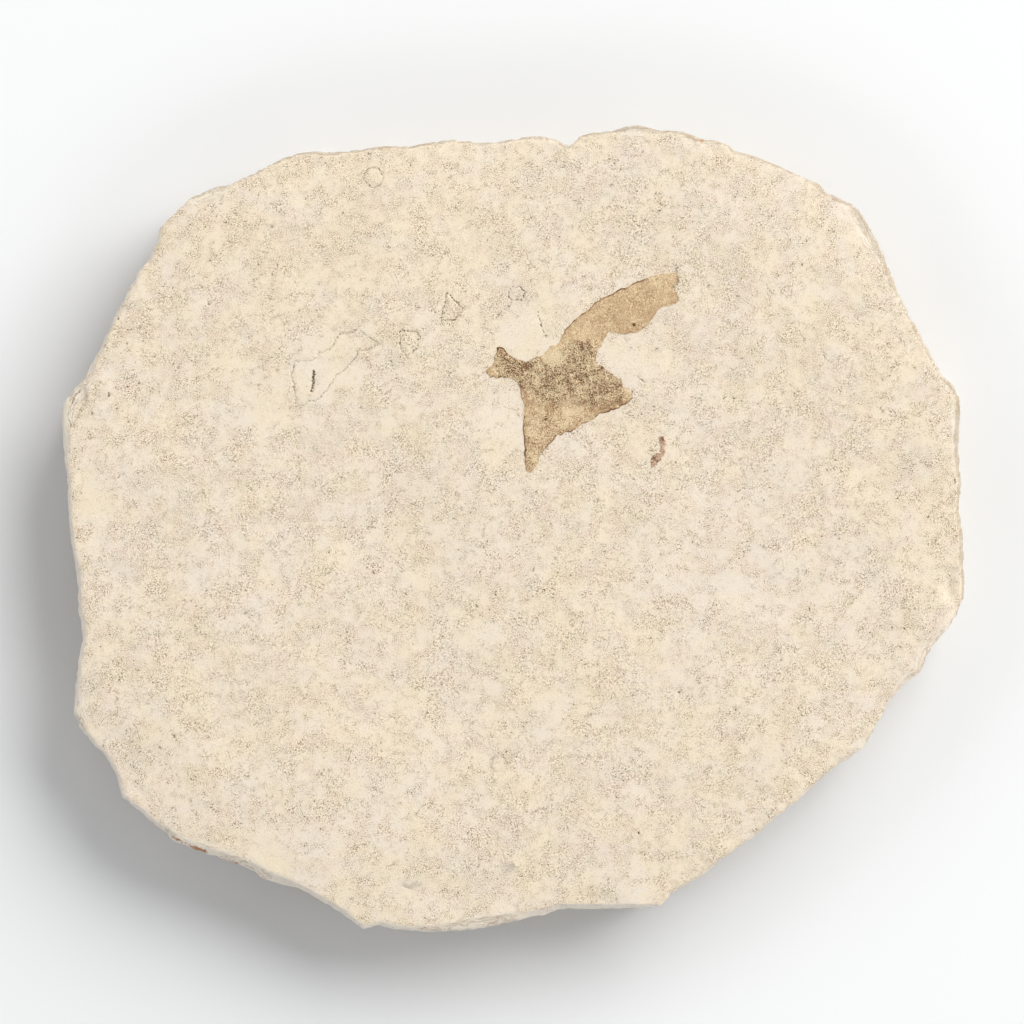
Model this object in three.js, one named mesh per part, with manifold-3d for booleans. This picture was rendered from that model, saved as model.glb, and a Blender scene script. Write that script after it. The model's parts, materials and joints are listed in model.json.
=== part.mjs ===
// A fossil insect on a slab of fine bedded limestone, split open and lying face up.
// Millimetres, +Z up. The origin is on the resting plane, under the middle of the slab.
import * as THREE from 'three';
import { mergeVertices } from 'three/addons/utils/BufferGeometryUtils.js';
import Module from 'manifold-3d';

const wasm = await Module();
wasm.setup();

// Driving dimensions of the stone.
const FACE = 8.7;            // mean height of the split face above the resting plane
const FACE_SWELL = 0.08;     // height of the face's slow swells
const FACE_RIPPLE = 0.04;    // height of its shorter ones
const FACE_FALL = 0.2;       // how far the face has fallen where it meets the broken edge
const FACE_CELL = 3;         // spacing of the points that shape the face
const EDGE_STEP = 2;         // longest straight run of the broken edge
const EDGE_JAG = 0.16;       // how far a bed's edge wanders from point to point
const EDGE_LEAN = 0.12;      // how much further in the top of a bed's edge is than its foot
const BED_WANDER = 0.6;      // share by which a bed's set-back varies around the slab
const BED_SWELL = 0.1;       // how far the beds' heights rise and fall around the slab
const SHELF_DROP = 0.08;     // fall of the narrow shelf on top of each bed

// Driving dimensions of the specimens.
const SPECIMEN_DEPTH = 0.7;  // how far they reach down into the stone
const CLEARANCE = 0.3;       // gap between a specimen and the wall of its recess
const FILM_PROUD = 0.05;     // how far their film stands above the face
const FILM_CELL = 1.2;       // spacing of the points that shape the film
const BODY_RISE = 0.14;      // extra height of the insect's body
const BODY_CRUMPLE = 0.5;    // share by which that height varies from point to point
const HEADROOM = 1;          // how far cutting prisms reach above the face

// The slab's outline from above, anticlockwise from its left corner. Each point is x, y and
// how far inside the outline the split face stops, which is where the thin beds show.
const RIM = [
  [-50.0, 11.1, 0.8], [-49.7, 7.0, 0.3], [-49.4, 4.6, 0.3], [-49.3, 1.2, 0.3], [-48.9, -2.6, 0.3],
  [-48.4, -4.9, 0.3], [-48.2, -9.1, 0.3], [-47.7, -12.0, 0.3], [-48.1, -13.8, 0.3],
  [-48.5, -17.0, 0.4], [-48.7, -20.3, 0.6], [-48.1, -22.0, 0.6], [-46.5, -24.0, 0.3],
  [-45.0, -25.5, 0.3], [-43.9, -27.7, 0.3], [-43.4, -29.7, 0.3], [-40.0, -32.6, 0.4],
  [-38.4, -33.8, 0.7], [-37.8, -34.6, 0.9], [-35.5, -35.6, 0.9], [-29.7, -37.5, 0.7],
  [-27.9, -38.8, 1.0], [-23.1, -40.2, 0.3], [-18.9, -42.7, 0.3], [-17.9, -43.6, 0.3],
  [-16.6, -44.4, 0.3], [-15.0, -44.0, 0.3], [-12.6, -44.5, 0.3], [-9.2, -44.7, 0.6],
  [-5.9, -44.6, 1.0], [-3.3, -44.3, 1.1], [3.6, -42.8, 0.7], [4.9, -42.2, 0.5],
  [14.0, -42.1, 0.4], [16.2, -41.9, 0.2], [17.7, -40.3, 0.2], [20.7, -38.6, 0.2],
  [22.9, -36.8, 0.2], [27.5, -33.5, 0.2], [29.5, -31.7, 0.2], [32.1, -29.7, 0.2],
  [34.2, -27.6, 0.2], [37.5, -25.2, 0.4], [38.7, -24.5, 0.8], [40.9, -20.7, 0.4],
  [41.5, -19.2, 0.3], [43.7, -16.9, 0.4], [44.9, -16.2, 0.8], [46.3, -13.3, 0.9],
  [47.3, -12.0, 0.7], [48.3, -11.0, 0.9], [49.2, -9.5, 0.8], [49.9, -7.7, 0.4],
  [50.0, -6.0, 0.4], [49.8, -0.4, 0.4], [49.4, 1.8, 0.3], [49.6, 5.1, 0.3], [49.3, 9.1, 0.5],
  [49.6, 13.8, 0.7], [49.4, 14.7, 0.6], [48.7, 15.9, 0.4], [47.6, 16.8, 0.3],
  [43.1, 25.1, 0.3], [40.7, 31.1, 0.8], [38.4, 35.2, 0.8], [37.4, 36.0, 0.6],
  [34.7, 37.2, 0.5], [33.8, 38.2, 0.5], [31.7, 39.2, 0.3], [26.1, 41.5, 0.2],
  [24.6, 41.8, 0.3], [23.8, 42.5, 0.3], [22.4, 43.0, 0.3], [20.7, 43.2, 0.4],
  [19.4, 43.8, 0.5], [18.0, 44.2, 0.3], [16.4, 44.1, 0.2], [13.8, 44.7, 0.5],
  [12.2, 44.5, 0.5], [11.2, 44.1, 0.3], [8.8, 43.9, 0.2], [7.4, 43.5, 0.2], [6.3, 42.4, 0.3],
  [5.6, 42.6, 0.3], [4.7, 43.1, 0.2], [3.2, 43.5, 0.2], [1.2, 43.4, 0.2], [-1.5, 42.9, 0.2],
  [-3.7, 42.8, 0.2], [-6.8, 43.2, 0.2], [-11.5, 42.4, 0.2], [-14.3, 42.4, 0.2],
  [-19.9, 41.7, 0.2], [-21.9, 41.8, 0.2], [-23.8, 41.6, 0.2], [-25.6, 41.0, 0.2],
  [-31.2, 38.2, 0.5], [-33.1, 37.8, 0.8], [-35.8, 36.6, 0.8], [-39.1, 33.5, 0.3],
  [-39.5, 31.9, 0.4], [-40.5, 29.6, 0.3], [-41.5, 28.6, 0.3], [-44.4, 23.1, 0.3],
  [-45.7, 20.2, 0.3], [-46.7, 18.5, 0.4], [-47.1, 17.4, 0.6], [-49.8, 13.9, 0.8],
  [-50.0, 12.9, 1.0],
];

// Half the slab's extent each way, which the outline reaches.
const HALF_WIDTH = Math.max(...RIM.map(([x]) => Math.abs(x)));
const HALF_DEPTH = Math.max(...RIM.map(([, y]) => Math.abs(y)));

// The stone's beds from the bottom up: the height of each one's top, how far it stands back
// from the outline all round, and the share of the rim's ledge that it takes besides.
const BEDS = [
  { top: 0.8, back: 0.7, ledge: 0 },
  { top: 2.1, back: 0.25, ledge: 0 },
  { top: 3.0, back: 0.5, ledge: 0 },
  { top: 5.1, back: 0, ledge: 0 },
  { top: 6.3, back: 0.1, ledge: 0.3 },
  { top: 7.6, back: 0, ledge: 0.65 },
  { top: FACE + 0.6, back: 0, ledge: 1 },
];

// Flakes lost along the bedding at the rim: outline and depth of each flat-floored scar.
const SCARS = [
  { depth: 1.5, outline: [[-50.2, 10.9], [-49.4, 12.9], [-48.3, 14.5], [-47.6, 14.9],
    [-47.2, 16.1], [-47.6, 17.3], [-51.5, 14.8], [-51.5, 11.5]] },
  { depth: 0.7, outline: [[-50.2, 10.2], [-49.2, 10.7], [-48.1, 12.1], [-47.0, 13.8],
    [-47.1, 15.1], [-47.7, 16.6], [-51.5, 15.1], [-51.5, 10.4]] },
  { depth: 0.7, outline: [[23.4, 43.9], [24.3, 42.2], [23.1, 40.8], [21.9, 41.0],
    [20.8, 42.9], [20.4, 44.2]] },
  { depth: 0.4, outline: [[35.3, 37.2], [34.1, 36.2], [33.1, 36.6], [33.1, 37.5], [33.7, 39.2]] },
  { depth: 0.4, outline: [[51, -8.7], [48.5, -8.4], [47.7, -7.7], [47.4, -6.6],
    [47.6, -5.1], [48.4, -4.4], [51, -4.2]] },
];

// The insect's outline, anticlockwise from the wing tip: the wing's front edge, the hump of the
// back, the head and forelimb, the long hind limb, the tail end and the wing's rear edge.
const INSECT = [
  [16.34, 28.14], [15.34, 27.87], [14.23, 27.46], [13.12, 26.94], [11.96, 26.43],
  [10.66, 25.95], [9.06, 24.80], [7.53, 23.75], [6.53, 22.87], [5.76, 22.04], [4.95, 20.35],
  [4.15, 20.14], [3.16, 19.08], [2.10, 18.80], [1.61, 18.38],
  [0.50, 18.60], [-0.39, 18.96], [-0.87, 19.82], [-1.44, 20.21], [-2.07, 19.55],
  [-1.97, 18.55], [-2.36, 17.97], [-3.20, 17.50], [-2.78, 16.91], [-2.27, 16.59],
  [-1.11, 16.71], [0.09, 16.49], [0.66, 16.08], [0.66, 15.34], [0.83, 14.47],
  [1.30, 13.75], [1.21, 11.46], [1.16, 7.92], [1.36, 7.36], [1.27, 6.37], [1.72, 5.99],
  [2.49, 6.70], [2.79, 7.48], [2.99, 8.25], [3.93, 9.21], [4.71, 10.30],
  [5.81, 10.54], [6.81, 11.05], [8.47, 11.98], [9.66, 12.70], [10.76, 12.90],
  [12.46, 13.73], [13.27, 14.29], [12.79, 15.54], [12.09, 15.43], [11.83, 16.56],
  [11.11, 16.87], [10.24, 17.70], [9.41, 17.85], [9.03, 18.60], [9.03, 19.16],
  [9.63, 20.10], [10.19, 21.10], [10.52, 21.78], [11.26, 21.65], [12.09, 21.40],
  [12.96, 21.45], [13.84, 21.71], [14.56, 22.09], [15.06, 22.65], [15.39, 23.37],
  [15.78, 23.98], [16.45, 24.42], [18.18, 24.91], [18.35, 25.36], [18.08, 26.08],
  [17.52, 26.68], [18.05, 27.01], [18.28, 27.60], [18.14, 28.16], [17.44, 28.32],
];

// The crumpled middle of the insect's body, where its film is thickest.
const BODY = { x: 6.6, y: 15.4, halfLength: 6, halfWidth: 3 };

// The small curved fossil's outline, anticlockwise from its dark head end.
const SMALL_FOSSIL = [
  [16.14, 10.04], [16.29, 9.19], [16.37, 8.75], [16.17, 8.34], [15.61, 8.27],
  [15.23, 7.92], [15.14, 6.76], [15.37, 6.59], [15.56, 7.00], [15.89, 7.14],
  [16.22, 7.53], [16.56, 8.03], [16.78, 8.58], [16.78, 9.14], [16.67, 10.19], [16.33, 10.29],
];

// A number from -1 to 1 that is always the same for the same two whole numbers.
function wander(i, j) {
  const mixed = Math.sin(i * 12.9898 + j * 78.233) * 43758.5453;
  return 2 * (mixed - Math.floor(mixed)) - 1;
}

// Height of the split face: slow swells, and a slight fall in the last part before the edge.
function faceHeight(x, y) {
  const swell = FACE_SWELL * Math.sin(x / 9 + 1) * Math.cos(y / 11);
  const ripple = FACE_RIPPLE * Math.sin((x - y) / 6);
  const fall = FACE_FALL * Math.hypot(x / HALF_WIDTH, y / HALF_DEPTH) ** 8;
  return FACE + swell + ripple - fall;
}

// Height of the specimens' film, which is thin on the wing and limbs and crumpled on the body.
function filmHeight(x, y) {
  const away = Math.hypot((x - BODY.x) / BODY.halfLength, (y - BODY.y) / BODY.halfWidth);
  const body = BODY_RISE * Math.exp(-away * away);
  const crumple = BODY_CRUMPLE * wander(Math.round(x / FILM_CELL), Math.round(y / FILM_CELL));
  return faceHeight(x, y) + FILM_PROUD + body * (1 + crumple);
}

// A closed solid from a geometry, with its corners joined.
function solid(geometry) {
  geometry.deleteAttribute('normal');
  geometry.deleteAttribute('uv');
  const closed = mergeVertices(geometry, 1e-5);
  const vertProperties = new Float32Array(closed.attributes.position.array);
  const triVerts = new Uint32Array(closed.index.array);
  return new wasm.Manifold(new wasm.Mesh({ numProp: 3, vertProperties, triVerts }));
}

// A named mesh from a finished solid.
function piece(name, shape, look) {
  const { vertProperties, triVerts } = shape.getMesh();
  const geometry = new THREE.BufferGeometry();
  geometry.setAttribute('position', new THREE.BufferAttribute(vertProperties, 3));
  geometry.setIndex(new THREE.BufferAttribute(triVerts, 1));
  geometry.computeVertexNormals();
  const mesh = new THREE.Mesh(geometry, new THREE.MeshStandardMaterial(look));
  mesh.name = name;
  return mesh;
}

// An upright prism of an outline, between two heights.
function prism(outline, bottom, top) {
  const shape = new THREE.Shape(outline.map(([x, y]) => new THREE.Vector2(x, y)));
  const geometry = new THREE.ExtrudeGeometry(shape, { depth: top - bottom, bevelEnabled: false });
  return solid(geometry.translate(0, 0, bottom));
}

// A block over an outline's extent whose upper side follows a height function.
function terrain(outline, cell, height) {
  const box = new THREE.Box2().setFromPoints(outline.map(([x, y]) => new THREE.Vector2(x, y)));
  const size = box.expandByScalar(cell).getSize(new THREE.Vector2());
  const middle = box.getCenter(new THREE.Vector2());
  const columns = Math.ceil(size.x / cell);
  const rows = Math.ceil(size.y / cell);
  const block = new THREE.BoxGeometry(size.x, size.y, 2, columns, rows, 1);
  block.translate(middle.x, middle.y, 0);
  const corners = block.attributes.position;
  for (let i = 0; i < corners.count; i++) {
    const top = corners.getZ(i) > 0;
    corners.setZ(i, top ? height(corners.getX(i), corners.getY(i)) : -1);
  }
  return solid(block);
}

// The rim with its long runs parted into short ones.
function brokenEdge() {
  return RIM.flatMap((point, i) => {
    const next = RIM[(i + 1) % RIM.length];
    const run = Math.hypot(next[0] - point[0], next[1] - point[1]);
    const parts = Math.ceil(run / EDGE_STEP);
    return Array.from({ length: parts }, (_, k) =>
      point.map((value, axis) => value + (next[axis] - value) * k / parts));
  });
}

// One bed's edge at one height, drawn in towards the middle of the slab. The bed that makes
// the outline stays on it at its foot.
function bedEdge(edge, bed, index, height, lean) {
  return edge.map(([x, y, ledge], i) => {
    const angle = Math.atan2(y, x);
    const wave = 1 + BED_WANDER * Math.sin((index + 2) * angle + 2 * index);
    const jag = bed.back + bed.ledge > 0 ? EDGE_JAG * (1 + wander(i, index)) / 2 : 0;
    const inwards = 1 - (bed.back * wave + bed.ledge * ledge + jag + lean) / Math.hypot(x, y);
    const swell = height > 0 ? BED_SWELL * Math.sin(3 * angle + height) : 0;
    return [x * inwards, y * inwards, height + swell];
  });
}

// The triangles that fill a ring, seen from above.
function capped(ring) {
  return THREE.ShapeUtils.triangulateShape(ring.map(([x, y]) => new THREE.Vector2(x, y)), []);
}

// The beds stacked to one closed solid, each with a steep edge and a small shelf on top.
function beddedStone() {
  const edge = brokenEdge();
  const rings = BEDS.flatMap((bed, index) => {
    const foot = index === 0 ? 0 : BEDS[index - 1].top + SHELF_DROP;
    return [bedEdge(edge, bed, index, foot, 0), bedEdge(edge, bed, index, bed.top, EDGE_LEAN)];
  });
  const around = edge.length;
  const faces = [];
  for (let start = 0; start < (rings.length - 1) * around; start += around) {
    for (let i = 0; i < around; i++) {
      const next = (i + 1) % around;
      const [a, b, c, d] = [start + i, start + next, start + around + next, start + around + i];
      faces.push(a, b, c, a, c, d);
    }
  }
  const top = (rings.length - 1) * around;
  for (const [a, b, c] of capped(rings[0])) faces.push(c, b, a);
  for (const [a, b, c] of capped(rings.at(-1))) faces.push(top + a, top + b, top + c);
  const geometry = new THREE.BufferGeometry();
  geometry.setAttribute('position', new THREE.Float32BufferAttribute(rings.flat(2), 3));
  return solid(geometry.setIndex(faces));
}

// An outline moved outwards by a gap, each corner along the mean of its edges' normals.
function widened(outline, gap) {
  const outwards = (from, to) =>
    new THREE.Vector2(to[1] - from[1], from[0] - to[0]).normalize();
  return outline.map((point, i) => {
    const before = outwards(outline.at(i - 1), point);
    const after = outwards(point, outline[(i + 1) % outline.length]);
    const reach = gap / Math.max(0.5, 1 + before.dot(after));
    return [point[0] + (before.x + after.x) * reach, point[1] + (before.y + after.y) * reach];
  });
}

// A specimen's solid, its film on top and its flat underside on the floor of its recess.
function specimen(outline) {
  const block = prism(outline, FACE - SPECIMEN_DEPTH, FACE + HEADROOM);
  return block.intersect(terrain(outline, FILM_CELL, filmHeight));
}

function slab() {
  let stone = beddedStone().intersect(terrain(RIM, FACE_CELL, faceHeight));
  for (const { depth, outline } of SCARS) {
    stone = stone.subtract(prism(outline, FACE - depth, FACE + HEADROOM));
  }
  for (const outline of [INSECT, SMALL_FOSSIL]) {
    const recess = prism(widened(outline, CLEARANCE), FACE - SPECIMEN_DEPTH, FACE + HEADROOM);
    stone = stone.subtract(recess);
  }
  return stone;
}

const fossil = new THREE.Group();
fossil.add(
  piece('slab', slab(), { color: 0xe9dac4, roughness: 0.95, metalness: 0 }),
  piece('insect', specimen(INSECT), { color: 0xc09c72, roughness: 0.7, metalness: 0 }),
  piece('small_fossil', specimen(SMALL_FOSSIL), { color: 0xa57d64, roughness: 0.7, metalness: 0 }),
);

export default fossil;
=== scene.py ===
"""The looks of a fossil insect on a slab of bedded limestone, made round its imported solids."""
import json
import math

import bmesh
import bpy
import numpy as np
from bpy.props import (
    FloatProperty,
    FloatVectorProperty,
    IntProperty,
    PointerProperty,
)
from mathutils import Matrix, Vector, kdtree, noise

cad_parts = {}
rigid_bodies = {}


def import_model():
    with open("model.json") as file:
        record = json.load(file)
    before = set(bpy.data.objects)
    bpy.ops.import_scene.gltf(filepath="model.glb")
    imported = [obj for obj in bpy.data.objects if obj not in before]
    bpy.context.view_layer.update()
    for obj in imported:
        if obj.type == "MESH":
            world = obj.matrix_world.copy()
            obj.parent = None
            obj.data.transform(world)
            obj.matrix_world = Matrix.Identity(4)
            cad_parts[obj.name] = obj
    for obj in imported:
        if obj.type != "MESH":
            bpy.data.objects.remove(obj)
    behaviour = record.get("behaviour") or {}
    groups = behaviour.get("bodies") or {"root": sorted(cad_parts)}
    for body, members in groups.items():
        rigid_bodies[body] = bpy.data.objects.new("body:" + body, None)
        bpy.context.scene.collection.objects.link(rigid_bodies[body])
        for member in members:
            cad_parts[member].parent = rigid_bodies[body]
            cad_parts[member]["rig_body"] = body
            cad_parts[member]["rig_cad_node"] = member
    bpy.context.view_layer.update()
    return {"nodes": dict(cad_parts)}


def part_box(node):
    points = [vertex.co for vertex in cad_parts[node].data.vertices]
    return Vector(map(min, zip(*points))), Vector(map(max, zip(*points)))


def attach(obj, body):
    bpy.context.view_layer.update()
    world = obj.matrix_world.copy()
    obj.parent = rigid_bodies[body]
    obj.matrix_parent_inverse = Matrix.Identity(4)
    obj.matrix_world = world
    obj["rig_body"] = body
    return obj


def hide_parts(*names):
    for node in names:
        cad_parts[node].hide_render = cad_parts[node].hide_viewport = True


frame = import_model()

bl_info = {
    "name": "Fossil insect slab",
    "version": (1, 0, 0),
    "blender": (4, 5, 0),
    "location": "3D View > Sidebar > Fossil slab",
    "description": "Builds a fossil insect on a slab of bedded limestone",
    "category": "Object",
}

MM = 0.001
SENSOR_WIDTH = 36
SMOOTH_ANGLE = math.radians(60)
IN_PLAN = np.array([1, 1, 0])

# Heights above the underside in millimetres: the split face and its rim lie above the first,
# the face alone above the second, and what is below the third rests on the floor.
RIM_LEVEL = 7
FACE_LEVEL = 8
REST_LEVEL = 0.05

# How deep the thin lines and lone grains are sunk, in millimetres.
MARK_DEPTH = 0.06

# Thin dark outlines of lost flakes on the split face, and a dark sliver, as points in
# millimetres.
FLAKE = [
    (-24.2, 18.4), (-24.5, 16.8), (-24.2, 15.5), (-24.1, 14.1), (-24.2, 13.4), (-23.0, 13.7),
    (-22.6, 14.1), (-22.0, 14.0), (-21.4, 14.4), (-20.7, 15.15), (-20.0, 16.1), (-19.6, 16.8),
    (-18.85, 17.3), (-18.2, 17.9), (-17.8, 18.7), (-17.4, 18.9), (-17.1, 19.7), (-16.1, 19.7),
    (-15.15, 20.3), (-14.7, 20.4), (-15.7, 20.8), (-16.4, 21.4), (-17.0, 21.9), (-19.0, 21.5),
    (-19.6, 21.05), (-19.9, 20.2), (-20.5, 19.7), (-21.4, 19.3), (-22.1, 18.7), (-22.5, 18.5),
    (-24.2, 18.4),
]
SLIVER = [(-22.05, 17.4), (-22.12, 16.3), (-22.27, 15.2)]
TRIANGLE = [(-8.0, 23.0), (-7.4, 26.1), (-5.6, 24.3), (-6.4, 23.1), (-8.0, 23.0)]
SHIELD = [(-12.6, 21.8), (-10.5, 21.7), (-10.6, 20.0), (-11.7, 19.0), (-12.5, 19.9), (-12.6, 21.8)]


def ring(x, y, across, along):
    """A slightly squashed ring as a closed line."""
    turns = [2 * math.pi * i / 12 for i in range(13)]
    return [(x + across * math.cos(t), y + along * math.sin(t)) for t in turns]


# Every thin line on the face and the rim: strength, half width in millimetres and points.
LINES = [
    (0.5, 0.075, FLAKE),
    (3.4, 0.11, SLIVER),
    (0.8, 0.08, TRIANGLE),
    (0.55, 0.08, SHIELD),
    (0.45, 0.09, ring(-15.5, 38.8, 1.05, 1.1)),
    (0.7, 0.08, ring(0.35, 25.87, 0.98, 0.8)),
    (0.6, 0.09, [(-0.3, 25.2), (0.5, 25.05), (1.1, 25.4), (1.25, 25.9)]),
    (0.4, 0.08, [(0.1, 25.2), (-0.6, 24.5), (-1.6, 23.6), (-1.9, 23.3)]),
    (0.25, 0.14, ring(-1.6, -26.0, 0.9, 0.85)),
    (0.75, 0.07, [(2.67, 23.86), (2.87, 23.26), (3.07, 22.36), (3.27, 21.87), (3.57, 21.2)]),
    (0.7, 0.1, [(3.55, 21.35), (3.65, 21.3)]),
    (0.7, 0.08, [(13.68, 16.78), (14.34, 16.22)]),
    (0.7, 0.1, [(18.1, 28.9), (17.9, 28.2), (18.2, 27.3), (17.8, 26.6)]),
    (0.3, 0.08, [(10.47, 9.58), (11.79, 8.69)]),
    (0.3, 0.07, [(-29.2, 17.3), (-27.9, 18.0), (-26.7, 18.9), (-26.0, 19.0)]),
    (0.3, 0.07, [(-24.75, 29.1), (-24.6, 28.4), (-24.75, 27.7)]),
    (0.5, 0.07, [(-47.7, 15.6), (-48.5, 14.4), (-49.0, 13.3), (-49.2, 12.2), (-49.0, 11.1)]),
    (0.4, 0.07, [(-48.1, 14.2), (-48.6, 13.2), (-48.8, 12.0), (-48.5, 11.0)]),
    (0.35, 0.06, [(-47.6, 13.6), (-48.2, 12.4)]),
    (0.35, 0.06, [(36.7, 37.0), (37.8, 36.0), (38.3, 34.7), (39.0, 33.0), (39.9, 31.2),
                  (40.7, 29.0), (41.6, 26.6)]),
    (0.35, 0.06, [(10.8, 43.9), (12.4, 44.2), (14.2, 44.2), (15.8, 43.7)]),
]

# Lone dark grains: places in millimetres. Each is drawn as a very short line.
GRAINS = [
    (-11.1, -12.8), (-44.7, 14.7), (-46.6, 12.7), (-30.1, 14.2), (-42.5, 11.7), (-43.5, 5.7),
    (-28.2, 36.9), (-23.0, 36.3), (-30.6, 34.7), (-31.5, 31.6), (-26.6, 33.3), (-33.6, 24.8),
    (-43.7, 23.2), (-42.7, 20.4), (-37.0, 17.7), (-11.5, 40.0), (-9.4, 41.8), (10.8, 37.8),
    (31.8, 29.0), (21.5, 26.7), (24.8, 25.5), (30.7, 22.7), (34.3, 18.9), (40.7, 16.3),
    (46.7, 16.3), (45.5, 17.0), (40.4, 13.2), (-29.6, -9.4), (-37.6, -22.9), (-35.8, -30.1),
    (-3.9, -37.3), (13.8, -33.6), (13.9, -35.9), (28.1, -32.0), (30.7, -29.7), (18.2, -18.2),
    (18.0, 9.7), (48.7, 5.2), (18.0, 28.85),
]
DOTS = [[(x, y), (x, y + 0.1)] for x, y in GRAINS]

# Pale rubbed places: x, y, half length, half width and turn in degrees.
PALE = [
    (15.2, 38.4, 2.3, 0.55, 65), (43.7, 19.9, 1.2, 0.3, 95), (27.3, 20.7, 1.0, 0.5, 30),
    (-14.1, -32.4, 4.4, 1.3, 5), (16.2, -5.4, 3.0, 0.7, 0), (24.2, -6.3, 4.0, 1.8, 0),
    (-4.6, -13.5, 2.4, 1.2, 20), (5.4, -20.1, 2.0, 1.8, 0), (16.8, -21.0, 1.0, 0.5, 20),
    (27.3, -22.7, 1.0, 0.6, 40), (20.7, -24.0, 2.4, 0.4, 0), (14.0, -40.0, 2.4, 0.9, 15),
    (-18.7, -5.5, 2.2, 0.5, 0), (-9.2, 0.8, 1.8, 0.5, 80), (-30.8, 28.6, 1.3, 0.5, 30),
    (-30.3, -20.1, 0.7, 0.5, 90), (20.6, 8.2, 0.9, 0.7, 0), (13.5, -10.7, 1.6, 1.4, 0),
]

# Broad places where the stone is cooler or, below 0, warmer in colour: x, y, half length,
# half width, turn and strength.
COOL = [
    (-15, 1, 9, 6, 0, 0.5), (22, 0, 9, 7, 0, 0.6), (29, -8, 8, 6, 0, 0.6), (-30, -6, 6, 6, 0, 0.4),
    (-18, -31, 7, 4, 0, 0.5), (-40, 2, 7, 9, 0, 0.3), (15, 12, 5, 5, 0, 0.3),
    (-32, 33, 12, 8, 0, -0.5), (-11, 33, 12, 8, 0, -0.5), (5, -13, 8, 7, 0, -0.4),
    (26, -23, 9, 7, 0, -0.4), (-32, -16, 9, 7, 0, -0.3), (40, 11, 8, 10, 0, -0.4),
]

# Patches with more dark grains or, below 0, bare smooth ones: as above.
GRIME = [
    (-40, -1, 5, 9, 10, 0.05), (10, 33, 7, 3, 5, 0.06), (-15, 8, 9, 6, 0, 0.03),
    (-37, 9, 5, 4, 0, 0.05), (24, 24, 6, 5, 0, 0.06), (30, 12, 6, 4, 0, 0.03),
    (4, -31, 6, 4, 0, 0.05), (-24, -3, 5, 3, 0, 0.04),
    (1.0, 21.6, 2.6, 1.9, 0, -0.4), (0.35, 25.9, 0.8, 0.7, 0, 0.22),
    (-21, 17, 2.6, 3.2, -40, -0.3), (-28, 15, 3, 2.5, 0, -0.2), (13.5, 19, 3, 2, 0, -0.3),
    (-28, 12, 4, 1.4, 0, -0.2), (-2, 12, 2, 3, 0, -0.25), (-46, 3, 2, 3, 0, -0.2),
    (-26, -37, 4, 2, -25, -0.3), (31, 24, 2.5, 1.5, 0, -0.2),
]

# Rust stains on the broken edge: as above.
RUST = [
    (-37.2, -34.3, 0.8, 0.15, -25, 0.8), (-34.9, -35.4, 0.8, 0.2, -20, 1.2),
    (-34.2, -35.6, 0.3, 0.25, 0, 0.6), (-30.7, -37.0, 0.6, 0.16, -15, 1.0),
    (-9.9, -44.2, 0.9, 0.18, 5, 0.6), (-2.3, -43.6, 0.5, 0.2, 0, 0.5),
    (20.8, 42.8, 0.25, 0.2, 0, 0.9),
]

# About the direction of the key light, in plan. The broken edge is given painted shade where it
# faces this way, and its crest a painted highlight where it faces away.
TOWARDS_KEY_LIGHT = (0.69, 0.72, 0)

# Heights in the solid and where they end up: the upper beds' edges are drawn up into low
# steps just under the face.
BED_HEIGHTS = [3.0, 5.1, 6.3, 7.6, 8.38]
STEP_HEIGHTS = [3.0, 8.18, 8.28, 8.35, 8.38]

# Parts of the rim where those steps are broad enough to see: x, y, half length, half width
# and turn.
BEDDED = [
    (-48.3, -20.5, 1.5, 2.5, 0), (-36.0, -35.3, 4.5, 1.6, -25), (-29.0, -38.0, 3.0, 1.6, -25),
    (-3.0, -44.0, 7.0, 1.5, 5), (38.7, -24.5, 1.5, 1.5, 0), (46.5, -13.5, 4.5, 1.6, 45),
    (49.4, 11.5, 1.2, 4.0, 0), (39.3, 33.0, 1.5, 4.0, 28), (19.5, 43.6, 1.5, 1.2, 0),
    (13.0, 44.4, 2.5, 1.2, 0), (-34.0, 37.5, 3.0, 1.5, 20), (-49.0, 14.0, 1.8, 4.0, -30),
]

# Scars where small chips broke off the rim: as above, with a strength.
CHIPS = [
    (22.3, 42.6, 1.5, 0.45, -10, 0.6), (34.0, 37.1, 0.9, 0.7, -45, 0.4),
    (48.5, -6.2, 0.9, 1.7, 0, 0.4),
]

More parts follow.
